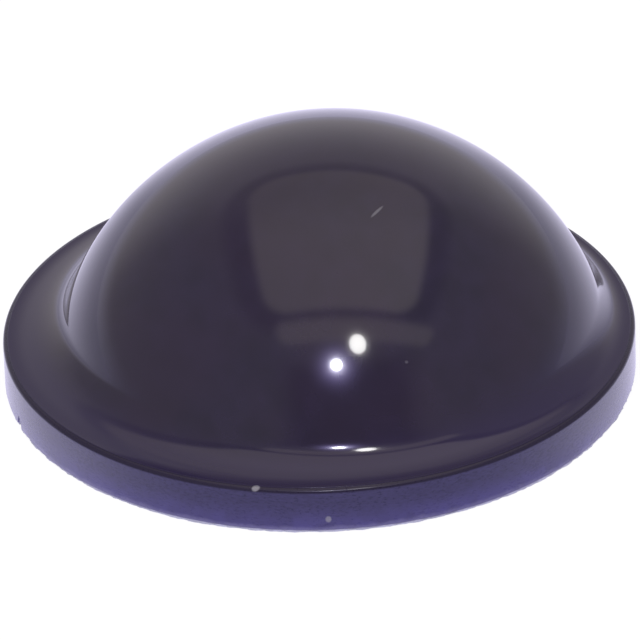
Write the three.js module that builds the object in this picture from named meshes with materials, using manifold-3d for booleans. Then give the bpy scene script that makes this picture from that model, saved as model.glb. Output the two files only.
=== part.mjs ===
// Adhesive bumper foot: a soft dome cast in one with a round flange, and an adhesive film under it.
// Millimetres, +Z up. The origin is the centre of the sticking face, on the axis of the flange.

import * as THREE from 'three';
import { mergeVertices } from 'three/addons/utils/BufferGeometryUtils.js';
import Module from 'manifold-3d';

const wasm = await Module();
wasm.setup();

// Flange and film, which are cut out together
const flangeDiameter = 22.3;
const flangeThickness = 1.45;
const filmThickness = 0.1;
const rimRounding = 0.2;

// Foot of the dome: a hollow curve that starts at the rim with a slight slope and steepens inwards
const footRadius = 2.1;
const footStartAngle = 11;

// Dome: three curves that follow each other without a corner, each turning through its own angle
const shoulderRadius = 2.45;
const shoulderAngle = 11;
const sideRadius = 12;
const sideAngle = 29;
const crownAngle = 32;

// The round outline was cut a little to one side, so the dome stands off the axis of the flange
const domeOffset = 0.53;

// Small bite out of the lower edge, where the cutter caught it
const nickDirection = 198;
const nickWidth = 0.42;
const nickDepth = 0.28;
const nickHeight = 0.45;

// Facets
const turnSegments = 96;
const crownSegments = 8;
const sideSegments = 8;
const shoulderSegments = 4;
const footSegments = 8;
const roundingSegments = 3;

const flangeRadius = flangeDiameter / 2;
const rimTop = filmThickness + flangeThickness;
const sideSlope = crownAngle + sideAngle;
const wallSlope = sideSlope + shoulderAngle;

const degrees = Math.PI / 180;

// The direction that a surface faces where it falls away from the axis at the given slope
function facing(slope) {
    return new THREE.Vector2(Math.sin(slope * degrees), Math.cos(slope * degrees));
}

// Radii at which the hollow foot starts at the rim and ends at the dome
const footStart = flangeRadius - rimRounding * (1 - facing(footStartAngle).x);
const domeFoot = footStart - footRadius * (facing(wallSlope).x - facing(footStartAngle).x);

// Points of one curve of the outline. A raised curve has its centre inside, and a hollow one outside.
function curvePoints(start, radius, fromSlope, toSlope, segments) {
    const centre = start.clone().addScaledVector(facing(fromSlope), -radius);
    const points = [];
    for (let step = 1; step <= segments; step += 1) {
        const slope = THREE.MathUtils.lerp(fromSlope, toSlope, step / segments);
        points.push(centre.clone().addScaledVector(facing(slope), radius));
    }
    return points;
}

function last(points) {
    return points[points.length - 1];
}

// Half section of the body, from the middle of its underside round the rim and up to the crown
function bodyOutline() {
    const outline = [
        new THREE.Vector2(0, filmThickness),
        new THREE.Vector2(flangeRadius, filmThickness),
        new THREE.Vector2(flangeRadius, rimTop - rimRounding),
    ];
    outline.push(...curvePoints(last(outline), rimRounding, 90, footStartAngle, roundingSegments));
    outline.push(...curvePoints(last(outline), -footRadius, footStartAngle, wallSlope, footSegments));
    outline.push(...curvePoints(last(outline), shoulderRadius, wallSlope, sideSlope, shoulderSegments));
    outline.push(...curvePoints(last(outline), sideRadius, sideSlope, crownAngle, sideSegments));
    const crownRadius = last(outline).x / facing(crownAngle).x;
    outline.push(...curvePoints(last(outline), crownRadius, crownAngle, 0, crownSegments));
    last(outline).x = 0;
    return outline;
}

// A half section turned about the vertical axis
function turned(outline) {
    const geometry = new THREE.LatheGeometry(outline, turnSegments);
    geometry.rotateX(Math.PI / 2);
    return geometry;
}

// Moves the dome to its place: all of it by the full offset, and the hollow foot less towards the rim
function shiftDome(geometry) {
    const place = geometry.attributes.position;
    for (let index = 0; index < place.count; index += 1) {
        if (place.getZ(index) > rimTop - rimRounding) {
            const radius = Math.hypot(place.getX(index), place.getY(index));
            const share = THREE.MathUtils.clamp((footStart - radius) / (footStart - domeFoot), 0, 1);
            place.setX(index, place.getX(index) + domeOffset * share);
        }
    }
    return geometry;
}

function toSolid(geometry) {
    geometry.deleteAttribute('normal');
    geometry.deleteAttribute('uv');
    const merged = mergeVertices(geometry, 1e-5);
    return new wasm.Manifold(new wasm.Mesh({
        numProp: 3,
        vertProperties: new Float32Array(merged.attributes.position.array),
        triVerts: new Uint32Array(merged.index.array),
    }));
}

function toMesh(name, solid, material) {
    const result = solid.getMesh();
    const geometry = new THREE.BufferGeometry();
    geometry.setAttribute('position', new THREE.BufferAttribute(result.vertProperties, 3));
    geometry.setIndex(new THREE.BufferAttribute(result.triVerts, 1));
    const flat = geometry.toNonIndexed();
    flat.computeVertexNormals();
    const mesh = new THREE.Mesh(flat, material);
    mesh.name = name;
    return mesh;
}

// The bite is egg-shaped and centred on the lower edge of the cut wall
function nickSolid() {
    const geometry = new THREE.SphereGeometry(1, 16, 12);
    geometry.scale(nickDepth, nickWidth / 2, nickHeight);
    geometry.translate(flangeRadius, 0, 0);
    geometry.rotateZ(nickDirection * degrees);
    return toSolid(geometry);
}

function bumperBody(nick) {
    const solid = toSolid(shiftDome(turned(bodyOutline())));
    const material = new THREE.MeshStandardMaterial({ color: 0x393444, roughness: 0.14, metalness: 0 });
    return toMesh('bumper_body', solid.subtract(nick), material);
}

function adhesiveFilm(nick) {
    const outline = [
        new THREE.Vector2(0, 0),
        new THREE.Vector2(flangeRadius, 0),
        new THREE.Vector2(flangeRadius, filmThickness),
        new THREE.Vector2(0, filmThickness),
    ];
    const material = new THREE.MeshStandardMaterial({ color: 0xb9b2d2, roughness: 0.45, metalness: 0 });
    return toMesh('adhesive_film', toSolid(turned(outline)).subtract(nick), material);
}

const nick = nickSolid();
const bumperFoot = new THREE.Group();
bumperFoot.add(bumperBody(nick));
bumperFoot.add(adhesiveFilm(nick));

export default bumperFoot;
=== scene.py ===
"""Adhesive bumper foot: a soft glossy dome cast in one with its flange, and an adhesive film under it.

Metres, +Z up. The origin is the centre of the sticking face, on the axis of the flange.
"""

from math import cos, pi, radians, sin

import bmesh
import bpy
from bpy.props import FloatProperty, FloatVectorProperty, IntProperty, PointerProperty
from mathutils import Matrix, Quaternion, Vector, noise


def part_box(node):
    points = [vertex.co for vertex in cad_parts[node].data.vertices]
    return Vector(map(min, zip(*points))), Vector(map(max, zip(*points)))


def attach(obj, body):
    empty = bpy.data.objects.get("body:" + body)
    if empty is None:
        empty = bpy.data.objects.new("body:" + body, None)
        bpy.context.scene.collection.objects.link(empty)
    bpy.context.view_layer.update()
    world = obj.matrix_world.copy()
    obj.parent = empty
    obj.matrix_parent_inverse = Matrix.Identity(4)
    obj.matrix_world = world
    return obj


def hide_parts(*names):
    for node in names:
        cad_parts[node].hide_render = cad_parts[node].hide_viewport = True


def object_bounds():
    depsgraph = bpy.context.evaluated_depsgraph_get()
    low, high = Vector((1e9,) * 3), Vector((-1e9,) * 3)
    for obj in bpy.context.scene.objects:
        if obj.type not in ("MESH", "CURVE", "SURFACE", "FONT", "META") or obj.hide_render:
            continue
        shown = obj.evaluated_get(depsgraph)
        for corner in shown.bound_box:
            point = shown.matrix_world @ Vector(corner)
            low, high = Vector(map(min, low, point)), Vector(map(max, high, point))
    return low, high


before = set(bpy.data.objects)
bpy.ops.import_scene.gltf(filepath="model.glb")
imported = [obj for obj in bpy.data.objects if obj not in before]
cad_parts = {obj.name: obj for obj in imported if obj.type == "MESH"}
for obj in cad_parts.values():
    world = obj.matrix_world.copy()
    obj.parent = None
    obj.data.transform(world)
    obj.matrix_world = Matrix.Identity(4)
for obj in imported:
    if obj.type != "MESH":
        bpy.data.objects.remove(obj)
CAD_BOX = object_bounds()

bl_info = {
    "name": "Adhesive bumper foot",
    "version": (1, 0, 0),
    "blender": (4, 5, 0),
    "location": "3D View > Sidebar > Bumper foot",
    "description": "Models an adhesive bumper foot with its finishes and a small studio",
    "category": "Add Mesh",
}

BODY_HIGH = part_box("bumper_body")[1]
FILM_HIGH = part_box("adhesive_film")[1]
MILLIMETRE = 0.001

# Edges that turn by more than this stay crisp
CRISP_ANGLE = radians(40)

# Sockets of the node that mixes colours
MIX_FIRST = 6
MIX_SECOND = 7
MIX_RESULT = 2


class BumperBodySettings(bpy.types.PropertyGroup):
    """Sizes and colours of the dome and its flange."""

    flange_radius: FloatProperty(
        name="Flange radius",
        description="Radius of the round flange, which is cut out together with the film",
        default=BODY_HIGH.x,
        unit="LENGTH",
        precision=5,
    )
    rim_height: FloatProperty(
        name="Rim height",
        description="Height of the top of the flange at its rim, over the sticking face",
        default=1.7 * MILLIMETRE,
        unit="LENGTH",
        precision=5,
    )
    rim_rounding: FloatProperty(
        name="Rim rounding",
        description="Radius of the rounding between the cut wall and the top of the flange",
        default=0.15 * MILLIMETRE,
        unit="LENGTH",
        precision=5,
    )
    land_radius: FloatProperty(
        name="Land radius",
        description="Radius of the shallow hollow that rises from the rim",
        default=3.3 * MILLIMETRE,
        unit="LENGTH",
        precision=5,
    )
    land_start_slope: FloatProperty(
        name="Slope at the rim",
        description="Slope of the shallow hollow where it leaves the rim",
        default=radians(7),
        subtype="ANGLE",
    )
    land_end_slope: FloatProperty(
        name="Slope at the foot",
        description="Slope where the shallow hollow passes into the foot of the dome",
        default=radians(20),
        subtype="ANGLE",
    )
    foot_radius: FloatProperty(
        name="Foot radius",
        description="Radius of the tighter hollow curve up to the dome",
        default=1.6 * MILLIMETRE,
        unit="LENGTH",
        precision=5,
    )
    steepest_slope: FloatProperty(
        name="Steepest slope",
        description="Slope where the foot meets the dome",
        default=radians(66.9),
        subtype="ANGLE",
    )
    side_radius: FloatProperty(
        name="Side radius",
        description="Radius of the side of the dome",
        default=10.5 * MILLIMETRE,
        unit="LENGTH",
        precision=5,
    )
    crown_slope: FloatProperty(
        name="Slope under the crown",
        description="Slope where the side passes into the crown",
        default=radians(32.9),
        subtype="ANGLE",
    )
    dome_offset: FloatProperty(
        name="Dome offset",
        description="Distance of the dome from the axis of the flange",
        default=0.49 * MILLIMETRE,
        unit="LENGTH",
        precision=5,
    )
    nick_direction: FloatProperty(
        name="Nick direction",
        description="Direction of the small bite in the lower edge, from +X towards +Y",
        default=radians(198),
        subtype="ANGLE",
    )
    nick_size: FloatVectorProperty(
        name="Nick size",
        description="Depth, half width and height of the small bite in the lower edge",
        default=(0.28 * MILLIMETRE, 0.21 * MILLIMETRE, 0.45 * MILLIMETRE),
        subtype="XYZ_LENGTH",
        precision=5,
    )
    turn_steps: IntProperty(
        name="Turn steps",
        description="Number of steps of the full turn",
        default=256,
        min=32,
    )
    gloss_colour: FloatVectorProperty(
        name="Moulded colour",
        description="Colour of the glossy moulded surface",
        default=(0.0205, 0.0147, 0.043),
        subtype="COLOR",
        min=0,
        max=1,
    )
    cut_colour: FloatVectorProperty(
        name="Cut colour",
        description="Colour of the satin cut wall of the flange",
        default=(0.058, 0.05, 0.145),
        subtype="COLOR",
        min=0,
        max=1,
    )


class AdhesiveFilmSettings(bpy.types.PropertyGroup):
    """Sizes and colours of the adhesive film."""

    radius: FloatProperty(
        name="Film radius",
        description="Radius of the film at its proudest point",
        default=FILM_HIGH.x,
        unit="LENGTH",
        precision=5,
    )
    thickness: FloatProperty(
        name="Film thickness",
        description="Thickness of the film",
        default=FILM_HIGH.z,
        unit="LENGTH",
        precision=5,
    )
    raggedness: FloatProperty(
        name="Raggedness",
        description="How far the torn edge of the film draws back in places",
        default=0.06 * MILLIMETRE,
        unit="LENGTH",
        precision=5,
    )
    turn_steps: IntProperty(
        name="Turn steps",
        description="Number of steps of the full turn",
        default=720,
        min=64,
    )
    colour: FloatVectorProperty(
        name="Film colour",
        description="Colour of the tacky film",
        default=(0.75, 0.75, 0.98),
        subtype="COLOR",
        min=0,
        max=1,
    )


class StageSettings(bpy.types.PropertyGroup):
    """The studio and the camera around the bumper foot."""

    camera_distance: FloatProperty(
        name="Camera distance",
        description="Distance of the camera from the middle of the underside",
        default=334.5 * MILLIMETRE,
        unit="LENGTH",
    )
    camera_elevation: FloatProperty(
        name="Camera elevation",
        description="Angle of the camera above the floor",
        default=radians(30.52),
        subtype="ANGLE",
    )
    camera_roll: FloatProperty(
        name="Camera roll",
        description="Turn of the camera about its line of sight",
        default=radians(-1.96),
        subtype="ANGLE",
    )
    camera_lens: FloatProperty(
        name="Lens",
        description="Focal length of the camera on a sensor 36 mm wide",
        default=532.2,
        unit="CAMERA",
        min=1,
    )
    camera_target: FloatVectorProperty(
        name="Camera target",
        description="Point in the middle of the picture",
        default=(0.046 * MILLIMETRE, 0, 1.943 * MILLIMETRE),
        subtype="XYZ_LENGTH",
        precision=5,
    )
    floor_radius: FloatProperty(
        name="Floor radius",
        description="Radius of the round floor",
        default=3.0,
        unit="LENGTH",
    )
    floor_colour: FloatVectorProperty(
        name="Floor colour",
        description="Colour of the pale floor",
        default=(0.8, 0.8, 0.82),
        subtype="COLOR",
        min=0,
        max=1,
    )
    lamp_distance: FloatProperty(
        name="Lamp distance",
        description="Distance of the lamps from the bumper foot",
        default=0.5,
        unit="LENGTH",
    )
    key_power: FloatProperty(
        name="Key power",
        description="Power of the small lamp near the camera",
        default=0.14,
        unit="POWER",
    )
    fill_power: FloatProperty(
        name="Fill power",
        description="Power of the large soft lamp, which reflections leave out",
        default=0.8,
        unit="POWER",
    )
    second_power: FloatProperty(
        name="Second power",
        description="Power of the softer lamp beside it",
        default=0.125,
        unit="POWER",
    )


class Signal:
    """One output of a shader node. Sums written on signals add Math nodes."""

    def __init__(self, shader, socket):
        self.shader = shader
        self.socket = socket

    def math(self, operation, *terms):
        return self.shader.node("ShaderNodeMath", {"operation": operation}, dict(enumerate(terms)))

    def __add__(self, other):
        return self.math("ADD", self, other)

    __radd__ = __add__

    def __mul__(self, other):
        return self.math("MULTIPLY", self, other)

    __rmul__ = __mul__

    def __sub__(self, other):
        return self.math("SUBTRACT", self, other)

    def __rsub__(self, other):
        return self.math("SUBTRACT", other, self)

    def __truediv__(self, other):
        return self.math("DIVIDE", self, other)

    def __pow__(self, other):
        return self.math("POWER", self, other)

    def __abs__(self):
        return self.math("ABSOLUTE", self)

    def at_least(self, other):
        return self.math("MAXIMUM", self, other)

    def at_most(self, other):
        return self.math("MINIMUM", self, other)

    def exponential(self):
        return self.math("EXPONENT", self)

    def ramp(self, start, end):
        """Rises smoothly from 0 at start to 1 at end, or falls where end is below start."""
        return self.shader.node(
            "ShaderNodeMapRange",
            {"interpolation_type": "SMOOTHSTEP"},
            {"Value": self, "From Min": start, "From Max": end},
        )


class Shader:
    """The node tree of a material or of the world, built from signals."""

    def __init__(self, owner):
        owner.use_nodes = True
        self.tree = owner.node_tree
        self.tree.nodes.clear()

    def node(self, kind, settings=None, inputs=None, output=0):
        made = self.tree.nodes.new(kind)
        for name, value in (settings or {}).items():
            setattr(made, name, value)
        for key, value in (inputs or {}).items():
            if isinstance(value, Signal):
                self.tree.links.new(value.socket, made.inputs[key])
            else:
                made.inputs[key].default_value = value
        return Signal(self, made.outputs[output]) if len(made.outputs) else made

    def position(self):
        """The place on the piece, in millimetres."""
        place = self.node("ShaderNodeTexCoord", output="Object")
        return self.node(
            "ShaderNodeVectorMath", {"operation": "SCALE"}, {0: place, "Scale": 1 / MILLIMETRE}
        )

    def parts(self, vector):
        """The three coordinates of a vector."""
        split = self.node("ShaderNodeSeparateXYZ", inputs={0: vector}).socket.node
        return [Signal(self, socket) for socket in split.outputs]

    def vector(self, *coordinates):
        return self.node("ShaderNodeCombineXYZ", inputs=dict(enumerate(coordinates)))

    def length(self, vector):
        return self.node("ShaderNodeVectorMath", {"operation": "LENGTH"}, {0: vector}, "Value")

    def flat_length(self, x, y):
        """The length of a vector that lies flat."""
        return self.length(self.vector(x, y, 0.0))

    def dot(self, vector, direction):
        return self.node(
            "ShaderNodeVectorMath", {"operation": "DOT_PRODUCT"}, {0: vector, 1: direction}, "Value"
        )

    def noise(self, place, scale, detail):
        return self.node("ShaderNodeTexNoise", inputs={"Vector": place, "Scale": scale, "Detail": detail})

    def mix(self, share, first, second, blend="MIX"):
        """Mixes two colours by the share of the second."""
        return self.node(
            "ShaderNodeMix",
            {"data_type": "RGBA", "blend_type": blend},
            {"Factor": share, MIX_FIRST: colour(first), MIX_SECOND: colour(second)},
            MIX_RESULT,
        )

    def bump(self, height, strength, distance, under=None):
        inputs = {"Height": height, "Strength": strength, "Distance": distance}
        if under is not None:
            inputs["Normal"] = under
        return self.node("ShaderNodeBump", inputs=inputs)


def colour(value):
    """A signal as it is, or a plain colour with its alpha, as node sockets want it."""
    return value if isinstance(value, Signal) else (*value, 1.0)


# Modelling helpers


def facing(slope):
    """The direction that the outline faces where it falls away from the axis at the given slope."""
    return Vector((sin(slope), 0, cos(slope)))


def draw_straight(bm, tip, end):
    """Lengthens the outline from its tip straight to a point, and returns the new tip."""
    new_tip = bmesh.ops.extrude_vert_indiv(bm, verts=[tip])["verts"][0]
    new_tip.co = end
    return new_tip


def draw_curve(bm, tip, radius, from_slope, to_slope, steps):
    """Lengthens the outline along a curve, hollow where the radius is negative, and returns the new tip."""
    spun = bmesh.ops.spin(
        bm,
        geom=[tip],
        cent=tip.co - radius * facing(from_slope),
        axis=(0, 1, 0),
        angle=to_slope - from_slope,
        steps=steps,
    )
    return next(part for part in spun["geom_last"] if isinstance(part, bmesh.types.BMVert))


def turn_outline(bm, steps):
    """Turns the outline once round the vertical axis into a closed solid."""
    bmesh.ops.spin(
        bm,
        geom=[*bm.verts, *bm.edges],
        cent=(0, 0, 0),
        axis=(0, 0, 1),
        angle=2 * pi,
        steps=steps,
        use_merge=True,
    )
    bmesh.ops.remove_doubles(bm, verts=bm.verts, dist=0.001 * MILLIMETRE)
    bmesh.ops.recalc_face_normals(bm, faces=bm.faces)


def smooth_faces(bm):
    """Smooth shading, with a crisp line along each edge that turns sharply."""
    for face in bm.faces:
        face.smooth = True
    for edge in bm.edges:
        edge.smooth = edge.calc_face_angle(0) < CRISP_ANGLE


def new_piece(name, bm):
    """A new object from a finished bmesh."""
    mesh = bpy.data.meshes.new(name)
    bm.to_mesh(mesh)
    bm.free()
    piece = bpy.data.objects.new(name, mesh)
    bpy.context.scene.collection.objects.link(piece)
    return piece


def cut_away(piece, cutter):
    """Cuts one object out of another for good, and removes the cutter."""
    cut = piece.modifiers.new("Cut", "BOOLEAN")
    cut.operation = "DIFFERENCE"
    cut.solver = "EXACT"
    cut.object = cutter
    evaluated = piece.evaluated_get(bpy.context.evaluated_depsgraph_get())
    whole_mesh = piece.data
    piece.data = bpy.data.meshes.new_from_object(evaluated)
    piece.modifiers.clear()
    bpy.data.meshes.remove(whole_mesh)
    bpy.data.objects.remove(cutter)


# Moulded body

# Steps of each curve of the outline
ROUNDING_STEPS = 8
LAND_STEPS = 12
FOOT_STEPS = 28
SIDE_STEPS = 36
CROWN_STEPS = 30

# Rough skin of the nick: its height as a share of the nick, and how fine it is
NICK_ROUGHNESS = 0.18
NICK_FINENESS = 2.3

# Moulded surface: colour of its warmer clouds, and the painted light showing through the thin flange
CLOUD_COLOUR = (0.028, 0.0165, 0.044)
PAINTED_LIGHT_THROUGH_FLANGE = Vector((0.006, 0.003, 0.022))

# Cut wall: painted light from the floor below on its lower part, the glue on it, and the torn inside of the
# nick with a painted glint
PAINTED_FLOOR_LIGHT_ADDS = Vector((0.05, 0.042, 0.17))
GLUE_COLOUR = (0.24, 0.22, 0.46)
# Inside of the nick: a paler torn face, with a painted glint on it
TORN_AND_GLINT_COLOUR = (0.6, 0.58, 0.72)

# Dust on the body, in millimetres: middle, direction, half length, half width and density
DUST_COLOUR = (0.5, 0.49, 0.53)
DUST = (
    ((2.14, -3.52, 8.25), (1, 1.3, 0.2), 0.36, 0.05, 0.3),
    ((-5.75, -4.6, 5.45), (0.62, 0.1, 0.78), 0.3, 0.035, 0.08),
    ((2.97, -7.87, 4.74), (1, 0, 0), 0.06, 0.05, 0.15),
    ((-2.35, -10.82, 1.68), (0.8, 0, 0.6), 0.15, 0.11, 0.6),
    ((0.1, -11.15, 0.52), (0, 0, 1), 0.12, 0.1, 0.5),
)


def body_outline(settings):
    """Half section of the body, from the middle of its underside round the rim and up to the crown."""
    s = settings
    bm = bmesh.new()
    underside = FILM_HIGH.z
    tip = bm.verts.new((0, 0, underside))
    tip = draw_straight(bm, tip, (s.flange_radius, 0, underside))
    tip = draw_straight(bm, tip, (s.flange_radius, 0, s.rim_height - s.rim_rounding))
    tip = draw_curve(bm, tip, s.rim_rounding, pi / 2, s.land_start_slope, ROUNDING_STEPS)
    tip = draw_curve(bm, tip, -s.land_radius, s.land_start_slope, s.land_end_slope, LAND_STEPS)
    tip = draw_curve(bm, tip, -s.foot_radius, s.land_end_slope, s.steepest_slope, FOOT_STEPS)
    tip = draw_curve(bm, tip, s.side_radius, s.steepest_slope, s.crown_slope, SIDE_STEPS)
    crown_radius = tip.co.x / sin(s.crown_slope)
    tip = draw_curve(bm, tip, crown_radius, s.crown_slope, 0, CROWN_STEPS)
    tip.co.x = 0
    return bm


def shift_dome(bm, settings):
    """Moves the dome to its place, and its hollow foot by less and less towards the rim."""
    s = settings
    land_start = s.flange_radius - s.rim_rounding * (1 - sin(s.land_start_slope))
    foot_start = land_start - s.land_radius * (sin(s.land_end_slope) - sin(s.land_start_slope))
    foot_end = foot_start - s.foot_radius * (sin(s.steepest_slope) - sin(s.land_end_slope))
    for vert in bm.verts:
        if vert.co.z > s.rim_height - s.rim_rounding:
            share = (land_start - vert.co.xy.length) / (land_start - foot_end)
            share = min(max(share, 0), 1)
            vert.co.x += s.dome_offset * share * share * (3 - 2 * share)


def nick_cutter(settings):
    """An egg-shaped lump with a rough skin, centred on the lower edge of the cut wall."""
    bm = bmesh.new()
    bmesh.ops.create_icosphere(bm, subdivisions=3, radius=1)
    for vert in bm.verts:
        vert.co *= 1 + NICK_ROUGHNESS * noise.noise(vert.co * NICK_FINENESS)
    bmesh.ops.scale(bm, vec=settings.nick_size, verts=bm.verts)
    bmesh.ops.translate(bm, vec=(settings.flange_radius, 0, 0), verts=bm.verts)
    bmesh.ops.rotate(
        bm, cent=(0, 0, 0), matrix=Matrix.Rotation(settings.nick_direction, 3, "Z"), verts=bm.verts
    )
    return new_piece("nick_cutter", bm)


def dust_cover(shader, place):
    """1 where a grain of dust or a fibre lies on the surface, and 0 elsewhere."""
    cover = 0.0
    for centre, along, half_length, half_width, density in DUST:
        offset = shader.node("ShaderNodeVectorMath", {"operation": "SUBTRACT"}, {0: place, 1: centre})
        lengthwise = shader.dot(offset, Vector(along).normalized())
        distance = shader.length(offset)
        sideways = (distance * distance - lengthwise * lengthwise).at_least(0.0)
        reach = (lengthwise / half_length) ** 2.0 + sideways / half_width ** 2
        cover = (density * reach.ramp(1.6, 0.4)).at_least(cover)
    return cover


def moulded_colour(shader, place, inset, mottle, gloss):
    """Dark purple with a faint mottle and warmer clouds, and a little paler and bluer out on the thin
    flange, where light showing through it is painted.
    """
    cloud = shader.noise(place, 0.25, 2.0).ramp(0.35, 0.65)
    moulded = shader.mix(mottle.ramp(0.3, 0.7), gloss * 0.86, gloss * 1.12)
    moulded = shader.mix(cloud * 0.5, moulded, CLOUD_COLOUR)
    # Painted light: the outer, thin part of the flange is made paler and bluer as if lit through
    return shader.mix(inset.ramp(1.95, 0.95), moulded, gloss + PAINTED_LIGHT_THROUGH_FLANGE)


def wall_colour(shader, place, z, inset, grain, cut):
    """Paler satin, with painted light from the floor below making it paler and bluer towards the bottom, a
    smear of glue low down, and a torn nick with a painted glint.
    """
    patches = shader.noise(place, 1.3, 2.0).ramp(0.35, 0.65)
    # Painted light from the floor below: the lower part of the wall is made paler and bluer, in patches
    low = z.ramp(1.2, 0.1) * (0.55 + 0.45 * patches)
    uneven_height = z + 0.25 * shader.noise(place, 2.2, 3.0)
    glue = 0.75 * uneven_height.ramp(0.42, 0.24)
    # The inside of the nick gets a pale colour that is partly the torn face and partly a painted glint
    torn = z.ramp(1.2, 1.0) * inset.ramp(0.03, 0.1)
    face = shader.mix(grain.ramp(0.3, 0.7), cut * 0.9, cut * 1.25)
    face = shader.mix(low, face, cut + PAINTED_FLOOR_LIGHT_ADDS)
    face = shader.mix(glue, face, GLUE_COLOUR)
    return shader.mix(torn, face, TORN_AND_GLINT_COLOUR)


def body_finish(settings):
    """Dark glossy polyurethane, with a paler satin face where the round outline was cut."""
    material = bpy.data.materials.new("moulded_polyurethane")
    shader = Shader(material)
    place = shader.position()
    x, y, z = shader.parts(place)
    mottle = shader.noise(place, 0.9, 3.0)
    grain = shader.noise(shader.vector(x, y, z * 2.5), 6.0, 3.0)
    dust = dust_cover(shader, place)

    # Distance inwards from the cut wall in millimetres, and masks of the wall and of the rim over it
    inset = settings.flange_radius / MILLIMETRE - shader.flat_length(x, y)
    wall_top = (settings.rim_height - settings.rim_rounding) / MILLIMETRE
    wall = z.ramp(wall_top + 0.05, wall_top - 0.03)
    edge = inset.ramp(0.19, 0.11).at_least(wall)

    gloss = Vector(settings.gloss_colour)
    cut = Vector(settings.cut_colour)
    base = moulded_colour(shader, place, inset, mottle, gloss)
    base = shader.mix(edge, base, gloss)
    base = shader.mix(wall, base, wall_colour(shader, place, z, inset, grain, cut))
    base = shader.mix(dust, base, DUST_COLOUR)

    # The rim is less glossy than the dome, and dust is dull
    roughness = 0.09 + 0.05 * mottle + edge * (0.12 + 0.1 * grain)
    dull_rim = inset.ramp(0.85, 0.25) * (1 - wall)
    coat = (1 - 0.2 * wall - 0.65 * dull_rim) * (1 - dust)

    # Very slight hollow in the shading next to the rim, and the grain of the cut wall
    near_rim = (1.03 - inset).at_least(0.0)
    dish = 0.11 * near_rim * near_rim * (1 - edge)
    normal = shader.bump(dish, 1.0, MILLIMETRE)
    normal = shader.bump(grain * wall, 0.25, 0.05 * MILLIMETRE, normal)
    surface = shader.node(
        "ShaderNodeBsdfPrincipled",
        inputs={
            "Base Color": base,
            "Roughness": roughness,
            "Coat Weight": coat,
            "Coat Roughness": 0.04,
            "Coat IOR": 1.5,
            "IOR": 1.5,
            "Normal": normal,
        },
    )
    shader.node("ShaderNodeOutputMaterial", inputs={"Surface": surface})
    return material


class BUMPER_OT_body(bpy.types.Operator):
    """Add the dome and its flange, which are one casting, with the small nick in its lower edge"""

    bl_idname = "bumper.body"
    bl_label = "Bumper body"

    def execute(self, context):
        settings = context.scene.bumper_body
        bm = body_outline(settings)
        turn_outline(bm, settings.turn_steps)
        shift_dome(bm, settings)
        body = new_piece("bumper_body_finished", bm)
        cut_away(body, nick_cutter(settings))
        bm = bmesh.new()
        bm.from_mesh(body.data)
        smooth_faces(bm)
        bm.to_mesh(body.data)
        bm.free()
        body.data.materials.append(body_finish(settings))
        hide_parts("bumper_body")
        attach(body, "root")
        return {"FINISHED"}


# Adhesive film

SPECKLE_COLOUR = (0.8, 0.8, 0.9)

# Torn edge: length of its tears, how soft they are, how much finer each level is, and number of levels
TEAR_LENGTH = 0.5 * MILLIMETRE
TEAR_SOFTNESS = 0.6
TEAR_REFINEMENT = 2.0
TEAR_LEVELS = 4


def film_finish(settings):
    """Pale tacky film, a little cloudy."""
    material = bpy.data.materials.new("tacky_film")
    shader = Shader(material)
    place = shader.position()
    cloud = shader.noise(place, 1.6, 3.0)
    speckle = shader.noise(place, 9.0, 2.0)
    pale = Vector(settings.colour)
    base = shader.mix(cloud.ramp(0.35, 0.65), pale * 0.8, pale)
    base = shader.mix(speckle.ramp(0.55, 0.75) * 0.5, base, SPECKLE_COLOUR)
    surface = shader.node(
        "ShaderNodeBsdfPrincipled",
        inputs={
            "Base Color": base,
            "Roughness": 0.35 + 0.2 * speckle,
            "IOR": 1.47,
            "Normal": shader.bump(speckle, 0.3, 0.02 * MILLIMETRE),
        },
    )
    shader.node("ShaderNodeOutputMaterial", inputs={"Surface": surface})
    return material


class BUMPER_OT_film(bpy.types.Operator):
    """Add the thin adhesive film over the whole underside, with its slightly ragged edge"""

    bl_idname = "bumper.film"
    bl_label = "Adhesive film"

    def execute(self, context):
        settings = context.scene.bumper_film
        bm = bmesh.new()
        tip = bm.verts.new((0, 0, 0))
        tip = draw_straight(bm, tip, (settings.radius, 0, 0))
        tip = draw_straight(bm, tip, (settings.radius, 0, settings.thickness / 2))
        tip = draw_straight(bm, tip, (settings.radius, 0, settings.thickness))
        tip = draw_straight(bm, tip, (0, 0, settings.thickness))
        turn_outline(bm, settings.turn_steps)
        for vert in bm.verts:
            if vert.co.xy.length > settings.radius / 2:
                torn = noise.fractal(vert.co / TEAR_LENGTH, TEAR_SOFTNESS, TEAR_REFINEMENT, TEAR_LEVELS)
                drawn_back = settings.raggedness * min(max(0.5 - torn, 0), 1)
                vert.co.xy *= 1 - drawn_back / settings.radius
        smooth_faces(bm)
        film = new_piece("adhesive_film_finished", bm)
        cut_away(film, nick_cutter(context.scene.bumper_body))
        film.data.materials.append(film_finish(settings))
        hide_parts("adhesive_film")
        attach(film, "root")
        return {"FINISHED"}


# Stage


def direction(elevation, azimuth):
    """A direction from the bumper foot. Azimuth 0 is towards the camera, and grows to its right."""
    return Vector((cos(elevation) * sin(azimuth), -cos(elevation) * cos(azimuth), sin(elevation)))


KEY_DIRECTION = direction(radians(42), radians(1.2))
SECOND_DIRECTION = direction(radians(49), radians(14.5))
FILL_DIRECTION = direction(radians(50), radians(-8))

# Lamps: direction, width and height, and colour
KEY_LAMP = (KEY_DIRECTION, (0.04, 0.04), (0.93, 0.95, 1.0))
SECOND_LAMP = (SECOND_DIRECTION, (0.057, 0.067), (1.0, 0.99, 0.97))
FILL_LAMP = (FILL_DIRECTION, (0.25, 0.25), (0.97, 0.97, 1.0))

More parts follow.
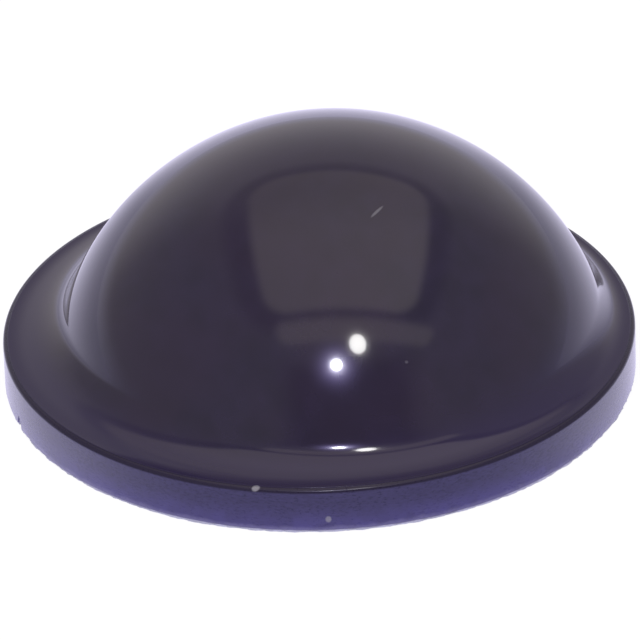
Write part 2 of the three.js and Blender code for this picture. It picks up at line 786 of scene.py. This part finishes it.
# Halo of the key lamp, as a bright core and a wide veil: the angle over which each fades, and its light
HALO = (
    (radians(2.4), (6.5, 6.0, 8.0)),
    (radians(5.5), (1.7, 1.4, 3.6)),
)

# Soft panels on a ceiling one unit high: middle, half size, corner radius and width of the edge
CEILING_PANEL = ((0.08, 0.2), (0.585, 0.68), 0.2, 0.1)
PANEL_BORDER = ((0.075, 0.2), (0.8, 0.84), 0.35, 0.2)
FRONT_STRIP = ((0.24, -0.67), (0.72, 0.12), 0.1, 0.12)

# Tints of the room, and of the floor in reflections
WALL_TINT = (1.02, 0.95, 1.01)
HORIZON_TINT = (0.96, 0.92, 1.17)
PANEL_TINT = (1.06, 0.96, 0.92)
FLOOR_TINT = (0.89, 0.85, 1.15)

# The floor lies this much under the sticking face, so that the two never share a plane
FLOOR_GAP = 0.02 * MILLIMETRE


def add_camera(settings):
    """The camera of the picture, which looks along a long lens."""
    camera = bpy.data.objects.new("camera", bpy.data.cameras.new("camera"))
    bpy.context.scene.collection.objects.link(camera)
    camera.data.lens = settings.camera_lens
    camera.data.sensor_width = 36
    towards_camera = direction(settings.camera_elevation, 0)
    camera.location = towards_camera * settings.camera_distance
    line_of_sight = Vector(settings.camera_target) - camera.location
    camera.rotation_mode = "QUATERNION"
    level = line_of_sight.to_track_quat("-Z", "Y")
    camera.rotation_quaternion = level @ Quaternion((0, 0, 1), settings.camera_roll)
    bpy.context.scene.camera = camera


def add_floor(settings):
    """A pale floor that shows white to the camera and in reflections, and keeps the shadow."""
    bm = bmesh.new()
    bmesh.ops.create_circle(bm, cap_ends=True, radius=settings.floor_radius, segments=128)
    bmesh.ops.translate(bm, vec=(0, 0, -FLOOR_GAP), verts=bm.verts)
    floor = new_piece("floor", bm)
    material = bpy.data.materials.new("floor_paper")
    shader = Shader(material)
    x, y = shader.parts(shader.position())[:2]
    distance = shader.flat_length(x, y)
    path = shader.node("ShaderNodeLightPath").socket.node
    camera_ray, glossy_ray, clear_ray = (
        Signal(shader, path.outputs[name])
        for name in ("Is Camera Ray", "Is Glossy Ray", "Is Transmission Ray")
    )

    # Brightness in reflections: full close by, except straight in front, and farther off best behind
    behind = (y / distance).ramp(-0.25, 0.35)
    straight_behind = (y / distance).ramp(0.88, 1.0)
    pool = ((14 - distance) / 18).exponential().at_most(1.0)
    mirrored = (0.5 + 0.25 * pool + 0.25 * straight_behind) * (0.35 + 0.65 * behind)
    beside = distance.ramp(16, 13) * ((0.05 * x - y) / distance).ramp(1.0, 0.45)
    mirrored = mirrored + (1 - mirrored) * beside
    level = 1 - glossy_ray * (1 - mirrored)

    pale = Vector(settings.floor_colour)
    matt = shader.node("ShaderNodeBsdfDiffuse", inputs={"Color": colour(pale)})
    shade = shader.mix(level, (0, 0, 0), pale * 0.35)
    shaded = shader.node("ShaderNodeBsdfDiffuse", inputs={"Color": shade})
    tint = shader.mix(glossy_ray, (1, 1, 1), FLOOR_TINT)
    shine = shader.mix(level, (0, 0, 0), tint)
    glow = shader.node("ShaderNodeEmission", inputs={"Color": shine, "Strength": 0.85})
    seen = shader.node("ShaderNodeAddShader", inputs={0: shaded, 1: glow})
    direct = camera_ray.at_least(glossy_ray).at_least(clear_ray)
    surface = shader.node("ShaderNodeMixShader", inputs={0: direct, 1: matt, 2: seen})
    shader.node("ShaderNodeOutputMaterial", inputs={"Surface": surface})
    floor.data.materials.append(material)


def round_panel(shader, across, along, centre, half_size, corner, edge):
    """1 inside a round-cornered panel of the ceiling, falling to 0 over the width of its soft edge."""
    over_x = (abs(across - centre[0]) - (half_size[0] - corner)).at_least(0.0)
    over_y = (abs(along - centre[1]) - (half_size[1] - corner)).at_least(0.0)
    beyond = shader.flat_length(over_x, over_y) - corner
    return beyond.ramp(edge / 2, -edge / 2)


def room_walls(shader, x, y, z, low):
    """Brightness of the walls: lit straight behind and along the horizon, and dim high up in front."""
    flat = shader.flat_length(x, y).at_least(0.01)
    straight_behind = (y / flat).ramp(0.55, 0.9)
    walls = 0.27 + straight_behind * (0.08 + 0.12 * z.ramp(0.75, 0.1))
    front = y.ramp(-0.45, -0.75) * z.ramp(0.75, 0.6)
    middle = abs(x - 0.1).ramp(0.55, 0.3)
    walls = walls * (1 - 0.45 * front * middle)
    behind = (y / flat).ramp(-0.1, 0.6)
    right = (x / flat).ramp(0.5, 0.85)
    horizon = 0.57 - 0.16 * right
    return walls + (horizon - walls) * low * (0.1 + 0.9 * behind)


def add_surroundings():
    """The room around the object: a pale panel overhead, dimmer walls and a brighter side behind."""
    world = bpy.data.worlds.new("studio")
    bpy.context.scene.world = world
    shader = Shader(world)
    toward = shader.node("ShaderNodeTexCoord", output="Generated")
    x, y, z = shader.parts(toward)
    height = z.at_least(0.05)
    across = x / height
    along = y / height
    low = z.ramp(0.14, -0.02)

    panel = round_panel(shader, across, along, *CEILING_PANEL)
    border = round_panel(shader, across, along, *PANEL_BORDER)
    strip = round_panel(shader, across, along, *FRONT_STRIP)
    shine = 0.54 - 0.16 * along.ramp(0.05, 0.75) + 0.06 * across.ramp(-0.5, 0.6)
    level = room_walls(shader, x, y, z, low) * (1 - 0.3 * border)
    level = level + panel * (shine - level)
    level = level + strip * (0.5 - level) * (1 - panel)
    tint = shader.mix(low, WALL_TINT, HORIZON_TINT)
    tint = shader.mix(panel.at_least(strip), tint, PANEL_TINT)
    light = shader.mix(1.0, tint, shader.vector(level, level, level), "MULTIPLY")

    from_key = 2 * (shader.dot(toward, KEY_DIRECTION) - 1)
    for fade_angle, added in HALO:
        halo = (from_key / fade_angle ** 2).exponential()
        light = shader.mix(1.0, light, shader.vector(*(part * halo for part in added)), "ADD")
    background = shader.node("ShaderNodeBackground", inputs={"Color": light, "Strength": 1.0})
    shader.node("ShaderNodeOutputWorld", inputs={"Surface": background})


def add_lamp(name, looks, distance, power):
    """A round or oval lamp that points at the bumper foot."""
    toward, size, tint = looks
    lamp = bpy.data.objects.new(name, bpy.data.lights.new(name, "AREA"))
    bpy.context.scene.collection.objects.link(lamp)
    lamp.data.shape = "ELLIPSE"
    lamp.data.size = size[0]
    lamp.data.size_y = size[1]
    lamp.data.energy = power
    lamp.data.color = tint
    aim = Vector((0, 0, CAD_BOX[1][2] / 2))
    lamp.location = aim + toward * distance
    lamp.rotation_mode = "QUATERNION"
    lamp.rotation_quaternion = (-toward).to_track_quat("-Z", "Y")
    return lamp


class BUMPER_OT_stage(bpy.types.Operator):
    """Add the pale floor, the soft light and the camera"""

    bl_idname = "bumper.stage"
    bl_label = "Stage"

    def execute(self, context):
        settings = context.scene.bumper_stage
        add_floor(settings)
        add_surroundings()
        add_lamp("key_lamp", KEY_LAMP, settings.lamp_distance, settings.key_power)
        fill = add_lamp("fill_lamp", FILL_LAMP, settings.lamp_distance, settings.fill_power)
        fill.visible_glossy = False
        add_lamp("second_lamp", SECOND_LAMP, settings.lamp_distance, settings.second_power)
        add_camera(settings)
        context.scene.view_settings.view_transform = "Standard"
        return {"FINISHED"}


class BUMPER_PT_panel(bpy.types.Panel):
    """Settings and buttons of the bumper foot"""

    bl_label = "Bumper foot"
    bl_space_type = "VIEW_3D"
    bl_region_type = "UI"
    bl_category = "Bumper foot"

    def draw(self, context):
        for operator, group in STEPS:
            box = self.layout.box()
            settings = getattr(context.scene, group)
            for name in settings.__annotations__:
                box.prop(settings, name)
            box.operator(operator.bl_idname)


GROUPS = {
    "bumper_body": BumperBodySettings,
    "bumper_film": AdhesiveFilmSettings,
    "bumper_stage": StageSettings,
}
STEPS = (
    (BUMPER_OT_body, "bumper_body"),
    (BUMPER_OT_film, "bumper_film"),
    (BUMPER_OT_stage, "bumper_stage"),
)
CLASSES = (*GROUPS.values(), *(operator for operator, group in STEPS), BUMPER_PT_panel)


def register():
    for item in CLASSES:
        bpy.utils.register_class(item)
    for name, group in GROUPS.items():
        setattr(bpy.types.Scene, name, PointerProperty(type=group))


def unregister():
    for name in GROUPS:
        delattr(bpy.types.Scene, name)
    for item in reversed(CLASSES):
        bpy.utils.unregister_class(item)


def main():
    register()
    bpy.ops.bumper.body()
    bpy.ops.bumper.film()
    bpy.ops.bumper.stage()


if __name__ == "__main__":
    main()
